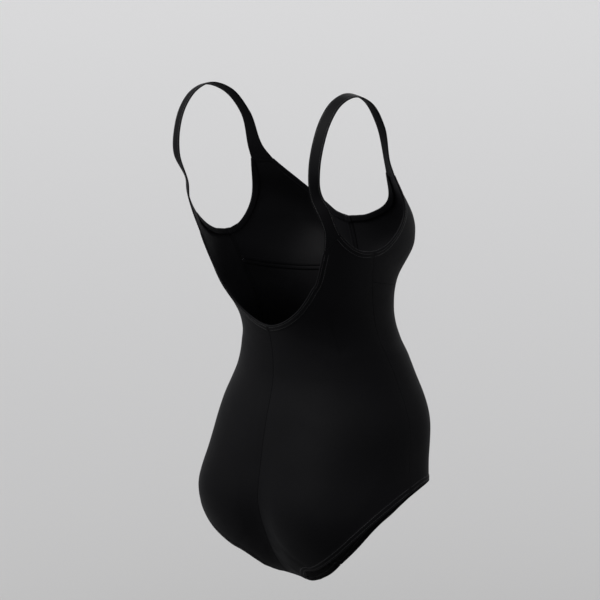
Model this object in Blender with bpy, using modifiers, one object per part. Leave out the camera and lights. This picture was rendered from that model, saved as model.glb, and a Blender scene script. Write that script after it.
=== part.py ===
"""A low-backed leotard in its hollow worn form: panels, moulded cups, shoulder straps and gusset.

Metres, +Z up.  The front faces -Y and the wearer's right side is at -X.  The origin lies between
the two places where the straps rest on the shoulders.

Every panel is a grid on one general figure.  A place on the figure is given by a side (front or
back), by "across", which runs from 0 on the centre line to 1 on the side line, and by "run",
which is about the distance in metres below the neck, down to 0.67 between the legs.
"""

import math

import bpy
import numpy as np

# Cloth sizes
WALL = 0.0015
HEM_WALL = 0.0024
STRAP_WALL = 0.0020
HEM_WIDTH = 0.0080
HEM_STEP = 0.0020
SEAM_GAP = 0.0003
EDGE_STRIP = 0.0020
EDGE_ACROSS = 0.009
LONGEST_SLANT = 3.0

# The place of the origin on the figure: between the tops of the shoulders
SHOULDER_PLACE = np.array([0.0, 0.044, -0.008])

# Sections of the general figure, from the chest down to the crotch.  The side point is where
# front and back meet.  Square is the exponent of the section's curve: 2 is an ellipse.
SECTION_COLUMNS = ("run", "side_y", "side_z", "half_width", "back_y", "back_z",
                   "front_y", "front_z", "square_back", "square_front")
SECTIONS = np.array([
    (0.096, 0.031, -0.096, 0.155, 0.107, -0.096, -0.053, -0.096, 2.4, 2.5),
    (0.144, 0.022, -0.144, 0.148, 0.109, -0.144, -0.070, -0.144, 2.4, 2.6),
    (0.192, 0.006, -0.192, 0.133, 0.107, -0.192, -0.088, -0.192, 2.3, 2.5),
    (0.250, -0.012, -0.250, 0.113, 0.090, -0.250, -0.106, -0.250, 2.2, 2.4),
    (0.307, -0.030, -0.307, 0.104, 0.055, -0.307, -0.114, -0.307, 2.1, 2.4),
    (0.365, -0.045, -0.365, 0.122, 0.047, -0.365, -0.128, -0.365, 2.1, 2.6),
    (0.422, -0.045, -0.422, 0.147, 0.059, -0.422, -0.134, -0.422, 2.1, 2.8),
    (0.480, -0.039, -0.480, 0.154, 0.069, -0.480, -0.126, -0.480, 2.2, 2.8),
    (0.528, -0.035, -0.523, 0.164, 0.077, -0.535, -0.110, -0.528, 2.4, 2.8),
    (0.576, -0.033, -0.538, 0.162, 0.060, -0.588, -0.090, -0.578, 2.8, 2.8),
    (0.624, -0.033, -0.538, 0.154, 0.029, -0.629, -0.054, -0.622, 3.2, 3.0),
    (0.653, -0.033, -0.538, 0.147, 0.007, -0.642, -0.027, -0.641, 3.4, 3.3),
    (0.672, -0.033, -0.538, 0.144, -0.010, -0.645, -0.010, -0.645, 3.4, 3.4),
])

# Fullness of the seat, and the shallow valley that the centre-back seam pulls in
SEAT = {"rise": 0.018, "across": 0.42, "run": 0.509, "wide": 0.30, "long": 0.082}
VALLEY = {"depth": 0.007, "wide": 0.10, "run": 0.552, "long": 0.062}

# Fullness of a moulded cup: it falls away faster below its fullest line than above it
CUP = {"rise": 0.038, "across": 0.46, "run": 0.192, "wide": 0.30, "above": 0.062, "below": 0.043}
CUP_POWER = 2.4

# Trim lines and seams as (across, run)
BACK_NECK = np.array([(0.0, 0.303), (0.10, 0.299), (0.20, 0.292), (0.30, 0.282),
                      (0.40, 0.268), (0.50, 0.246), (0.55, 0.229), (0.585, 0.195)])
BACK_ARM = np.array([(0.69, 0.172), (0.76, 0.1845), (0.86, 0.1955), (0.94, 0.1986), (1.0, 0.199)])
FRONT_NECK = np.array([(0.0, 0.179), (0.15, 0.173), (0.30, 0.150), (0.42, 0.110)])
FRONT_ARM = np.array([(0.56, 0.110), (0.62, 0.134), (0.72, 0.166),
                      (0.86, 0.1925), (0.94, 0.1982), (1.0, 0.199)])
UNDERBUST = np.array([(0.0, 0.242), (0.25, 0.252), (0.50, 0.255), (0.75, 0.250), (1.0, 0.240)])
BACK_LEG = np.array([(0.14, 0.636), (0.20, 0.609), (0.30, 0.596), (0.45, 0.573),
                     (0.60, 0.550), (0.75, 0.529), (0.90, 0.514), (1.0, 0.508)])
FRONT_LEG = np.array([(0.14, 0.638), (0.20, 0.597), (0.30, 0.562), (0.45, 0.526),
                      (0.60, 0.507), (0.80, 0.502), (1.0, 0.508)])
CROTCH_RUN = 0.672
GUSSET_MIDDLE_ACROSS = 0.125

# Strap: the lines it leaves the back and reaches the cup on, as (across, run) of its inner and
# outer edge, and the middle of the free ribbon over the shoulder as x, y, z on the figure
STRAP_HALF_WIDTH = 0.0080
STRAP_ON_BACK = (((0.585, 0.195), (0.690, 0.172)),
                 ((0.575, 0.168), (0.646, 0.159)),
                 ((0.530, 0.150), (0.601, 0.140)),
                 ((0.478, 0.130), (0.545, 0.1235)))
STRAP_ON_FRONT = (((0.444, 0.096), (0.548, 0.096)),
                  ((0.420, 0.110), (0.56, 0.110)))
STRAP_WAY = np.array([(0.122, 0.0975, -0.092), (0.125, 0.0935, -0.060), (0.126, 0.083, -0.035),
                      (0.126, 0.066, -0.0165), (0.126, 0.044, -0.008), (0.1235, 0.010, -0.017),
                      (0.1195, -0.018, -0.048)])
SHOULDER_MIDDLE = np.array([0.10, 0.03, -0.13])

# Numbers of rows and columns
BACK_ROWS = 20
FRONT_ROWS = 16
CUP_ROWS = 9
STRAP_ROWS = 38
STRAP_COLUMNS = 4
GUSSET_ROWS = 12
GUSSET_COLUMNS = 3

CLOTH_COLOUR = (0.011, 0.011, 0.013, 1.0)
CLOTH_ROUGHNESS = 0.72


def smooth_curve(keys, values, places):
    """Read a smooth curve through the values at the keys."""
    places = np.clip(places, keys[0], keys[-1])
    slopes = np.gradient(values, keys)
    start = np.clip(np.searchsorted(keys, places, side="right") - 1, 0, len(keys) - 2)
    length = keys[start + 1] - keys[start]
    t = (places - keys[start]) / length
    from_value = (2.0 * t**3 - 3.0 * t**2 + 1.0) * values[start]
    from_slope = (t**3 - 2.0 * t**2 + t) * length * slopes[start]
    to_value = (3.0 * t**2 - 2.0 * t**3) * values[start + 1]
    to_slope = (t**3 - t**2) * length * slopes[start + 1]
    return from_value + from_slope + to_value + to_slope


def section_value(name, run):
    column = SECTION_COLUMNS.index(name)
    return smooth_curve(SECTIONS[:, 0], SECTIONS[:, column], run)


def both_sides(across, form, power):
    """A fullness across the figure and its mirror image, so that it is level on the centre line."""
    here = np.exp(-np.abs((across - form["across"]) / form["wide"])**power)
    mirrored = np.exp(-np.abs((across + form["across"]) / form["wide"])**power)
    return here + mirrored


def seat_fullness(across, run):
    rise = both_sides(across, SEAT, 2.0) * np.exp(-((run - SEAT["run"]) / SEAT["long"])**2)
    valley = np.exp(-(across / VALLEY["wide"])**2 - ((run - VALLEY["run"]) / VALLEY["long"])**2)
    return SEAT["rise"] * rise - VALLEY["depth"] * valley


def cup_fullness(across, run):
    below = run - CUP["run"]
    length = np.where(below < 0.0, CUP["above"], CUP["below"])
    upright = np.exp(-np.abs(below / length)**CUP_POWER)
    return CUP["rise"] * both_sides(across, CUP, CUP_POWER) * upright


def figure_point(side, across, run):
    """Place on the figure's left half, in metres from the origin between the shoulders."""
    across = np.asarray(across, dtype=float)
    run = np.asarray(run, dtype=float)
    angle = across * math.pi / 2.0
    square = section_value("square_" + side, run)
    radius = (np.abs(np.cos(angle))**square + np.abs(np.sin(angle))**square)**(-1.0 / square)
    side_y = section_value("side_y", run)
    side_z = section_value("side_z", run)
    out_y = section_value(side + "_y", run) - side_y
    out_z = section_value(side + "_z", run) - side_z
    fullness = seat_fullness(across, run) if side == "back" else cup_fullness(across, run)
    share = radius * np.cos(angle) + fullness / np.hypot(out_y, out_z)
    x = section_value("half_width", run) * radius * np.sin(angle)
    return np.stack([x, side_y + out_y * share, side_z + out_z * share], axis=-1) - SHOULDER_PLACE


def across_step(side, across, run, distance):
    """How far "across" moves for a distance in metres along the cloth."""
    probe = 0.002
    there = np.clip(across + probe, 0.0, 1.0)
    here = np.clip(across - probe, 0.0, 1.0)
    span = np.linalg.norm(figure_point(side, there, run) - figure_point(side, here, run), axis=-1)
    return distance * (there - here) / span


def line_run(line, across):
    return smooth_curve(line[:, 0], line[:, 1], across)


def joined_edge(neck, arm, across):
    """Top edge of a panel: the neckline, the straight strap seam, then the armhole."""
    on_seam = np.interp(across, [neck[-1, 0], arm[0, 0]], [neck[-1, 1], arm[0, 1]])
    edge = np.where(across <= neck[-1, 0], line_run(neck, across), on_seam)
    return np.where(across >= arm[0, 0], line_run(arm, across), edge)


def columns_between(stops, counts):
    """Values of "across" from stop to stop, with a narrow column beside each of the two seams."""
    parts = [np.linspace(stops[i], stops[i + 1], counts[i], endpoint=False) for i in range(len(counts))]
    across = np.concatenate(parts)
    narrow = [stops[0] + EDGE_ACROSS, stops[-1] - EDGE_ACROSS, stops[-1]]
    return np.sort(np.append(across, narrow))


def rows_between(top, bottom, count, top_strips, bottom_strips):
    """Runs down one column, with strips of fixed width along its two ends."""
    upper = top + np.concatenate([[0.0], np.cumsum(top_strips)])
    lower = bottom - np.concatenate([[0.0], np.cumsum(bottom_strips)])
    middle = np.linspace(upper[-1], lower[-1], count + 1)[1:-1]
    return np.concatenate([upper, middle, lower[::-1]])


def slant(side, across, edge):
    """How much longer a strip of fixed width is down a column where the edge slants."""
    slope = np.gradient(edge, across) * across_step(side, across, edge, 1.0)
    return np.minimum(np.sqrt(1.0 + slope**2), LONGEST_SLANT)


def panel_grid(side, across, top, bottom, count, top_strips, bottom_strips):
    """Grid of places for a panel whose columns keep their "across", but for the seam's gap."""
    upper = np.outer(slant(side, across, top), top_strips)
    lower = np.outer(slant(side, across, bottom), bottom_strips)
    runs = np.array([rows_between(top[i], bottom[i], count, upper[i], lower[i])
                     for i in range(len(across))])
    places = np.repeat(across[:, None], runs.shape[1], axis=1)
    places[0] += across_step(side, places[0], runs[0], SEAM_GAP / 2.0)
    places[-1] -= across_step(side, places[-1], runs[-1], SEAM_GAP / 2.0)
    return places, runs


def cloth_material():
    material = bpy.data.materials.get("black_jersey")
    if material:
        return material
    material = bpy.data.materials.new("black_jersey")
    material.use_nodes = True
    shader = material.node_tree.nodes["Principled BSDF"]
    shader.inputs["Base Color"].default_value = CLOTH_COLOUR
    shader.inputs["Roughness"].default_value = CLOTH_ROUGHNESS
    shader.inputs["Metallic"].default_value = 0.0
    material.diffuse_color = CLOTH_COLOUR
    return material


def start_collection():
    for thing in list(bpy.data.objects):
        bpy.data.objects.remove(thing, do_unlink=True)
    collection = bpy.data.collections.new("leotard")
    bpy.context.scene.collection.children.link(collection)
    return collection


def sheet_object(collection, name, points, outward, thick_places=None):
    """Open sheet over a grid of points, wound so that its faces look along "outward"."""
    columns, rows = points.shape[:2]
    corner = np.arange(columns * rows).reshape(columns, rows)
    quads = np.stack([corner[:-1, :-1], corner[1:, :-1], corner[1:, 1:], corner[:-1, 1:]], axis=-1)
    middle = (columns // 2, rows // 2)
    along = points[middle[0] + 1, middle[1]] - points[middle]
    down = points[middle[0], middle[1] + 1] - points[middle]
    if np.dot(np.cross(along, down), outward) < 0.0:
        quads = quads[..., ::-1]
    mesh = bpy.data.meshes.new(name)
    mesh.from_pydata(points.reshape(-1, 3).tolist(), [], quads.reshape(-1, 4).tolist())
    mesh.shade_smooth()
    mesh.materials.append(cloth_material())
    sheet = bpy.data.objects.new(name, mesh)
    collection.objects.link(sheet)
    if thick_places is not None:
        hem = sheet.vertex_groups.new(name="hem")
        hem.add(corner[thick_places].tolist(), 1.0, "REPLACE")
    return sheet


def mirror_across_centre(sheet):
    mirror = sheet.modifiers.new("other_half", "MIRROR")
    mirror.use_clip = True
    mirror.merge_threshold = 0.0001


def give_wall(sheet, wall, hem_wall=None):
    """Thickness grown outward from the sheet, more of it in the turned hems."""
    solidify = sheet.modifiers.new("cloth_wall", "SOLIDIFY")
    solidify.thickness = wall
    solidify.offset = 1.0
    solidify.use_even_offset = True
    solidify.use_quality_normals = True
    if hem_wall:
        solidify.thickness = hem_wall
        solidify.vertex_group = "hem"
        solidify.thickness_vertex_group = wall / hem_wall


def hem_places(shape, top_free, bottom_free):
    """Which grid points lie in a turned hem, for columns whose top or bottom edge is free."""
    thick = np.zeros(shape, dtype=bool)
    thick[top_free, :2] = True
    thick[bottom_free, -2:] = True
    return thick


def with_side(points, side_sign):
    return points * np.array([side_sign, 1.0, 1.0])


def make_back(collection, name, side_sign):
    """One half of the back, from the centre-back seam to the side seam."""
    stops = (0.0, BACK_LEG[0, 0], BACK_NECK[-1, 0], BACK_ARM[0, 0], 1.0)
    across = columns_between(stops, (GUSSET_COLUMNS, 7, STRAP_COLUMNS, 6))
    top = joined_edge(BACK_NECK, BACK_ARM, across)
    on_strap = (across > BACK_NECK[-1, 0]) & (across < BACK_ARM[0, 0])
    top = top + np.where(on_strap | np.isclose(across, BACK_NECK[-1, 0])
                         | np.isclose(across, BACK_ARM[0, 0]), SEAM_GAP / 2.0, 0.0)
    on_gusset = across <= BACK_LEG[0, 0]
    bottom = np.where(on_gusset, BACK_LEG[0, 1] - SEAM_GAP / 2.0, line_run(BACK_LEG, across))
    hems = (HEM_WIDTH, HEM_STEP)
    places, runs = panel_grid("back", across, top, bottom, BACK_ROWS, hems, hems)
    points = with_side(figure_point("back", places, runs), side_sign)
    thick = hem_places(places.shape, ~on_strap, ~on_gusset)
    sheet = sheet_object(collection, name, points, (0.0, 1.0, 0.0), thick)
    give_wall(sheet, WALL, HEM_WALL)


def front_columns():
    """Columns that the cups and the front below them share, so that their seam matches."""
    stops = (0.0, FRONT_LEG[0, 0], FRONT_NECK[-1, 0], FRONT_ARM[0, 0], 1.0)
    return columns_between(stops, (GUSSET_COLUMNS, 4, STRAP_COLUMNS, 6))


def make_front_body(collection):
    """The front below the bust seam, in one piece from side seam to side seam."""
    across = front_columns()
    top = line_run(UNDERBUST, across) + SEAM_GAP / 2.0
    on_gusset = across <= FRONT_LEG[0, 0]
    bottom = np.where(on_gusset, FRONT_LEG[0, 1] - SEAM_GAP / 2.0, line_run(FRONT_LEG, across))
    strips = (EDGE_STRIP, HEM_WIDTH)
    hems = (HEM_WIDTH, HEM_STEP)
    places, runs = panel_grid("front", across, top, bottom, FRONT_ROWS, strips, hems)
    places[0] = 0.0
    points = figure_point("front", places, runs)
    thick = hem_places(places.shape, np.zeros(len(across), dtype=bool), ~on_gusset)
    sheet = sheet_object(collection, "front_body", points, (0.0, -1.0, 0.0), thick)
    mirror_across_centre(sheet)
    give_wall(sheet, WALL, HEM_WALL)


def make_cup(collection, name, side_sign):
    """One moulded cup, from the centre front to the side seam, above the bust seam."""
    across = front_columns()
    on_strap = (across > FRONT_NECK[-1, 0]) & (across < FRONT_ARM[0, 0])
    top = joined_edge(FRONT_NECK, FRONT_ARM, across)
    top = top + np.where(on_strap | np.isclose(across, FRONT_NECK[-1, 0])
                         | np.isclose(across, FRONT_ARM[0, 0]), SEAM_GAP / 2.0, 0.0)
    bottom = line_run(UNDERBUST, across) - SEAM_GAP / 2.0
    hems = (HEM_WIDTH, HEM_STEP)
    strips = (EDGE_STRIP, HEM_WIDTH)
    places, runs = panel_grid("front", across, top, bottom, CUP_ROWS, hems, strips)
    points = with_side(figure_point("front", places, runs), side_sign)
    thick = hem_places(places.shape, ~on_strap, np.zeros(len(across), dtype=bool))
    sheet = sheet_object(collection, name, points, (0.0, -1.0, 0.0), thick)
    give_wall(sheet, WALL, HEM_WALL)


def make_gusset(collection):
    """The crotch piece, rolled from the back panels under the body to the front."""
    back_seam = BACK_LEG[0, 1] + SEAM_GAP / 2.0
    front_seam = FRONT_LEG[0, 1] + SEAM_GAP / 2.0
    back_length = CROTCH_RUN - back_seam
    whole_length = back_length + CROTCH_RUN - front_seam
    way = rows_between(0.0, whole_length, GUSSET_ROWS, (EDGE_STRIP,), (EDGE_STRIP,))
    on_back = way <= back_length
    runs = np.where(on_back, back_seam + way, 2.0 * CROTCH_RUN - back_seam - way)
    edge = np.interp(way, [0.0, back_length, whole_length],
                     [BACK_LEG[0, 0], GUSSET_MIDDLE_ACROSS, FRONT_LEG[0, 0]])
    share = columns_between((0.0, 1.0), (GUSSET_COLUMNS,))
    places = share[:, None] * edge[None, :]
    runs = np.repeat(runs[None, :], len(share), axis=0)
    points = np.where(on_back[None, :, None], figure_point("back", places, runs),
                      figure_point("front", places, runs))
    sheet = sheet_object(collection, "gusset", points, (0.0, 0.0, -1.0))
    mirror_across_centre(sheet)
    give_wall(sheet, WALL)


def strap_keys(share):
    """Key places of the strap for one share of its width, from the back seam to the cup seam."""
    def on_figure(side, line):
        (inner_across, inner_run), (outer_across, outer_run) = line
        across = inner_across + (outer_across - inner_across) * share
        run = inner_run + (outer_run - inner_run) * share
        return figure_point(side, across, run)

    way = STRAP_WAY - SHOULDER_PLACE
    tangents = np.gradient(way, axis=0)
    sideways = np.cross(tangents, way - (SHOULDER_MIDDLE - SHOULDER_PLACE))
    sideways = sideways / np.linalg.norm(sideways, axis=1)[:, None]
    sideways = sideways * np.sign(sideways[:, :1])
    ribbon = way + sideways * STRAP_HALF_WIDTH * (2.0 * share - 1.0)
    back = [on_figure("back", line) for line in STRAP_ON_BACK]
    front = [on_figure("front", line) for line in STRAP_ON_FRONT]
    return np.vstack([back, ribbon, front])


def make_strap(collection, name, side_sign):
    """The strap, from its wide foot on the back over the shoulder to the top of the cup."""
    columns = []
    for share in np.linspace(0.0, 1.0, STRAP_COLUMNS + 1):
        keys = strap_keys(share)
        steps = np.linalg.norm(np.diff(keys, axis=0), axis=1)
        along = np.concatenate([[0.0], np.cumsum(steps)])
        gap = SEAM_GAP / 2.0
        places = rows_between(gap, along[-1] - gap, STRAP_ROWS, (EDGE_STRIP,), (EDGE_STRIP,))
        columns.append(np.stack([smooth_curve(along, keys[:, axis], places) for axis in range(3)], axis=-1))
    points = with_side(np.array(columns), side_sign)
    sheet = sheet_object(collection, name, points, (0.0, 0.0, 1.0))
    give_wall(sheet, STRAP_WALL)


def main():
    collection = start_collection()
    for side_name, side_sign in (("left", 1.0), ("right", -1.0)):
        make_back(collection, "back_" + side_name, side_sign)
        make_cup(collection, "cup_" + side_name, side_sign)
        make_strap(collection, "strap_" + side_name, side_sign)
    make_front_body(collection)
    make_gusset(collection)


main()
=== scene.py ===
"""Finish of a low-backed black leotard in its hollow worn form.

Each panel of the frame gets a thin jersey shell with rolled seams, turned hems and stitching.
Metres, +Z up.  The front faces -Y and the wearer's right side is at -X.

A place on the garment is given by a side (front or back), by "across", from 0 on the centre line
to 1 or -1 on the side lines, and by "run", about the distance in metres below the neck.
"""

import math

import bpy
import numpy as np
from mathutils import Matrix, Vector
from mathutils.kdtree import KDTree


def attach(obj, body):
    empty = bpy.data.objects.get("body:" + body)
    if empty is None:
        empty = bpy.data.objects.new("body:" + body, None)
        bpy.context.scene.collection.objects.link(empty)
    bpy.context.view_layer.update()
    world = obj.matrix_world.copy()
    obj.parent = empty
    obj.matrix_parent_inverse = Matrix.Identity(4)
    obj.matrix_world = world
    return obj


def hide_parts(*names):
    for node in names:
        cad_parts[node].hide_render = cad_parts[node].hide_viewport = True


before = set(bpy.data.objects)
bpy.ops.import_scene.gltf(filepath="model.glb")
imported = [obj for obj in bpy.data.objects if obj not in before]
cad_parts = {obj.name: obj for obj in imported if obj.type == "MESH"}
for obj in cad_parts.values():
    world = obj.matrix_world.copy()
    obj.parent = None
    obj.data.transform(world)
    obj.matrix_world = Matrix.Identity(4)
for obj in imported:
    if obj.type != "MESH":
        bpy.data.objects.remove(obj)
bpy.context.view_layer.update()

# The general figure, as in the frame's solids
SHOULDER_PLACE = np.array([0.0, 0.044, -0.008])
SECTION_COLUMNS = ("run", "side_y", "side_z", "half_width", "back_y", "back_z",
                   "front_y", "front_z", "square_back", "square_front")
SECTIONS = np.array([
    (0.096, 0.031, -0.096, 0.155, 0.107, -0.096, -0.053, -0.096, 2.4, 2.5),
    (0.144, 0.022, -0.144, 0.148, 0.109, -0.144, -0.070, -0.144, 2.4, 2.6),
    (0.192, 0.006, -0.192, 0.133, 0.107, -0.192, -0.088, -0.192, 2.3, 2.5),
    (0.250, -0.012, -0.250, 0.113, 0.090, -0.250, -0.106, -0.250, 2.2, 2.4),
    (0.307, -0.030, -0.307, 0.104, 0.055, -0.307, -0.114, -0.307, 2.1, 2.4),
    (0.365, -0.045, -0.365, 0.122, 0.047, -0.365, -0.128, -0.365, 2.1, 2.6),
    (0.422, -0.045, -0.422, 0.147, 0.059, -0.422, -0.134, -0.422, 2.1, 2.8),
    (0.480, -0.039, -0.480, 0.154, 0.069, -0.480, -0.126, -0.480, 2.2, 2.8),
    (0.528, -0.035, -0.523, 0.164, 0.077, -0.535, -0.110, -0.528, 2.4, 2.8),
    (0.576, -0.033, -0.538, 0.162, 0.060, -0.588, -0.090, -0.578, 2.8, 2.8),
    (0.624, -0.033, -0.538, 0.154, 0.029, -0.629, -0.054, -0.622, 3.2, 3.0),
    (0.653, -0.033, -0.538, 0.147, 0.007, -0.642, -0.027, -0.641, 3.4, 3.3),
    (0.672, -0.033, -0.538, 0.144, -0.010, -0.645, -0.010, -0.645, 3.4, 3.4),
])
SEAT = {"rise": 0.018, "across": 0.42, "run": 0.509, "wide": 0.30, "long": 0.082}
VALLEY = {"depth": 0.007, "wide": 0.10, "run": 0.552, "long": 0.062}
CUP = {"rise": 0.038, "across": 0.46, "run": 0.192, "wide": 0.30, "above": 0.062, "below": 0.043}
CUP_POWER = 2.4

# Trim lines and seams as (across, run), as in the frame's solids
BACK_NECK = np.array([(0.0, 0.303), (0.10, 0.299), (0.20, 0.292), (0.30, 0.282),
                      (0.40, 0.268), (0.50, 0.246), (0.55, 0.229), (0.585, 0.195)])
BACK_ARM = np.array([(0.69, 0.172), (0.76, 0.1845), (0.86, 0.1955), (0.94, 0.1986), (1.0, 0.199)])
FRONT_NECK = np.array([(0.0, 0.179), (0.15, 0.173), (0.30, 0.150), (0.42, 0.110)])
FRONT_ARM = np.array([(0.56, 0.110), (0.62, 0.134), (0.72, 0.166),
                      (0.86, 0.1925), (0.94, 0.1982), (1.0, 0.199)])
UNDERBUST = np.array([(0.0, 0.242), (0.25, 0.252), (0.50, 0.255), (0.75, 0.250), (1.0, 0.240)])
BACK_LEG = np.array([(0.14, 0.636), (0.20, 0.609), (0.30, 0.596), (0.45, 0.573),
                     (0.60, 0.550), (0.75, 0.529), (0.90, 0.514), (1.0, 0.508)])
FRONT_LEG = np.array([(0.14, 0.638), (0.20, 0.597), (0.30, 0.562), (0.45, 0.526),
                      (0.60, 0.507), (0.80, 0.502), (1.0, 0.508)])
TRIM = {"back": (BACK_NECK, BACK_ARM, BACK_LEG), "front": (FRONT_NECK, FRONT_ARM, FRONT_LEG)}
CROTCH_RUN = 0.672
GUSSET_END = 2.0 * CROTCH_RUN - FRONT_LEG[0, 1]
GUSSET_MIDDLE_ACROSS = 0.125
STRAP_HALF_WIDTH = 0.0080
STRAP_ON_BACK = (((0.585, 0.195), (0.690, 0.172)),
                 ((0.575, 0.168), (0.646, 0.159)),
                 ((0.530, 0.150), (0.601, 0.140)),
                 ((0.478, 0.130), (0.545, 0.1235)))
STRAP_ON_FRONT = (((0.444, 0.096), (0.548, 0.096)),
                  ((0.420, 0.110), (0.56, 0.110)))
STRAP_WAY = np.array([(0.122, 0.0975, -0.092), (0.125, 0.0935, -0.060), (0.126, 0.083, -0.035),
                      (0.126, 0.066, -0.0165), (0.126, 0.044, -0.008), (0.1235, 0.010, -0.017),
                      (0.1195, -0.018, -0.048)])
SHOULDER_MIDDLE = np.array([0.10, 0.03, -0.13])

# Thickness of the shell, and how far its middle stands off the figure
CLOTH = 0.0008
CLOTH_LIFT = 0.0011

# Folded edges: radius of the fold, and length of the cloth that is turned in
HEM_FOLD = 0.00075
HEM_TURNED = 0.0080
SEAM_FOLD = 0.00045
SEAM_TURNED = 0.0040
SEAM_SETBACK = 0.0008
FOLDED_BELOW = -1.8 * SEAM_FOLD

# A hem's height, and the distances from its edge between which it falls to the plain cloth
HEM_RISE = 0.0007
HEM_EDGE = (0.0066, 0.0088)

# Rows of stitches: distances from the edge, and the dip that the thread pulls into the cloth
STITCH_LINES = (0.0021, 0.0066)
STITCH_DIP = 0.00022
STITCH_DIP_WIDTH = 0.0005

# Stitches: sink below the cloth's outer face, length, pitch, first place and radius, and the
# thread's shape as shares of its length, of its radius and of the radius above the cloth
STITCH_SINK = 0.00005
STITCH_LIFT = CLOTH_LIFT + HEM_RISE + 0.5 * CLOTH - STITCH_DIP - STITCH_SINK
STITCH_LENGTH = 0.0024
STITCH_PITCH = 0.0031
STITCH_START = 0.001
THREAD_RADIUS = 0.00019
THREAD_SIDES = 6
THREAD_SHAPE = ((0.0, 0.35, -0.9), (0.12, 0.9, 0.1), (0.5, 1.0, 0.45),
                (0.88, 0.9, 0.1), (1.0, 0.35, -0.9))

# Where rows of stitches start and stop: steps of "across", and shares of the way to a corner
STITCH_FROM_CENTRE = 0.008
STITCH_FROM_CORNER = 0.004
STITCH_TO_SIDE = 0.992
STITCH_TO_STRAP = 0.998
STITCH_FROM_SEAM = 0.001

# Rows round every folded edge, the last ones by their distances in from the fold
TURN_STEPS = 3
FOLD_STEPS = 6
NEAR_EDGE = np.array([0.0003, 0.0008, 0.0014, 0.0020, 0.0028, 0.0038, 0.0050, 0.0060, 0.0067, 0.0074,
                      0.0082, 0.0091, 0.0104, 0.0122])

# Rows are evened out from the first distance in from an edge on, and fully past the second
SMOOTH_FROM = (0.003, 0.012)
SMOOTH_ACROSS = 0.03

# Panels: the side, whether it reaches the neck and the legs or ends at the underbust seam, the rows
# between its hems, its middle run, and its middle columns as the "across" where a stretch starts
# and the number of columns in it
PANELS = {
    "back": {"side": "back", "neck": True, "legs": True, "rows": 110, "middle_run": 0.375,
             "stretches": ((0.11, 4), (BACK_LEG[0, 0], 14), (0.20, 26), (0.44, 22),
                           (BACK_NECK[-1, 0], 18), (BACK_ARM[0, 0], 26), (0.88, 0))},
    "cup": {"side": "front", "neck": True, "legs": False, "rows": 44, "middle_run": 0.215,
            "stretches": ((0.11, 32), (FRONT_NECK[-1, 0], 16), (FRONT_ARM[0, 0], 24), (0.72, 14),
                          (0.88, 0))},
    "front_body": {"side": "front", "neck": False, "legs": True, "rows": 84, "middle_run": 0.385,
                   "stretches": ((0.0, 9), (FRONT_LEG[0, 0], 14), (0.20, 50), (0.88, 0))},
}
PANEL_PASSES = 3
GUSSET_ROWS = 24
GUSSET_COLUMNS = 22

# Sign of a step of "across" crossed with a step of run, where 1 points out of the garment
TURN = {"back": 1.0, "front": -1.0}

# Steps of "across" and run for slopes, a step of "across" into the panel from a corner, the
# "across" whose width scales a panel's map, and the gusset's width for each unit of "across"
PROBE = 0.0015
CORNER_STEP = 0.001
MAP_ACROSS = 0.5
GUSSET_MAP_WIDTH = 0.24

# Points along each free edge, each crease, each row of hem stitches and each gusset row
LINE_POINTS = 700
CREASE_POINTS = 50
STITCH_POINTS = 420
GUSSET_STITCH_POINTS = 80

# The strap's tube: its grid, thickness and lift, powers that square its section, the distances
# from its ends of the rows that round them, its length and girth on the cloth's map, how far its
# ends go into the panels' folds, and how near its points are joined
STRAP_ROWS = 260
STRAP_ROUND = 40
STRAP_SHARES = 41
STRAP_HALF_THICKNESS = 0.0011
STRAP_LIFT = 0.0010
STRAP_SQUARE = 0.42
STRAP_SQUARE_SIDE = 0.75
STRAP_END = np.array([0.0, 0.00015, 0.0004, 0.0008, 0.0013, 0.0019])
STRAP_LENGTH = 0.33
STRAP_GIRTH = 0.034
STRAP_TUCK = 0.0006
STRAP_WELD = 0.00002

# The strap's outer face: where it starts round the tube, its height, and its rows without stitches
OUTER_FACE = 0.1
OUTER_FACE_HEIGHT = 0.93
STRAP_UNSTITCHED = 4

# Unevenness of stretched cloth: a height, then the two waves that it multiplies, each as radians
# for a metre along x, y and z, and a phase
UNREST = (
    (0.00020, (61.0, 0.0, 23.0, 1.3), (0.0, -31.0, 47.0, 0.4)),
    (0.00007, (127.0, 0.0, -83.0, 2.1), (0.0, 71.0, 149.0, 0.0)),
)

# The sharp line that the centre-back seam pulls into the seat
SEAT_LINE = {"depth": 0.0022, "wide": 0.055, "run": 0.49, "long": 0.12}

# Soft creases, the same on both halves: side, start and end as (across, run), half width, height
CREASES = (
    ("back", (0.58, 0.205), (0.50, 0.262), 0.0070, 0.0005),
    ("back", (0.66, 0.196), (0.66, 0.255), 0.0080, -0.0004),
    ("back", (0.30, 0.312), (0.62, 0.328), 0.0080, -0.0004),
    ("back", (0.46, 0.342), (0.95, 0.326), 0.0090, 0.0004),
    ("back", (0.04, 0.585), (0.16, 0.630), 0.0050, 0.0006),
    ("back", (0.06, 0.560), (0.24, 0.594), 0.0060, -0.0005),
    ("back", (0.60, 0.522), (0.88, 0.455), 0.0110, 0.0005),
    ("front", (0.98, 0.256), (0.66, 0.276), 0.0070, 0.0005),
    ("front", (0.95, 0.318), (0.50, 0.332), 0.0090, -0.0005),
    ("front", (0.90, 0.340), (0.40, 0.350), 0.0080, 0.0004),
    ("front", (0.08, 0.628), (0.28, 0.545), 0.0090, 0.0006),
    ("front", (0.18, 0.588), (0.44, 0.512), 0.0090, -0.0005),
    ("front", (0.60, 0.150), (0.52, 0.185), 0.0060, 0.0004),
    ("front", (0.20, 0.225), (0.02, 0.234), 0.0080, -0.0005),
)

# Half widths from its line beyond which a crease is left out
CREASE_REACH = 3.0

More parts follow.
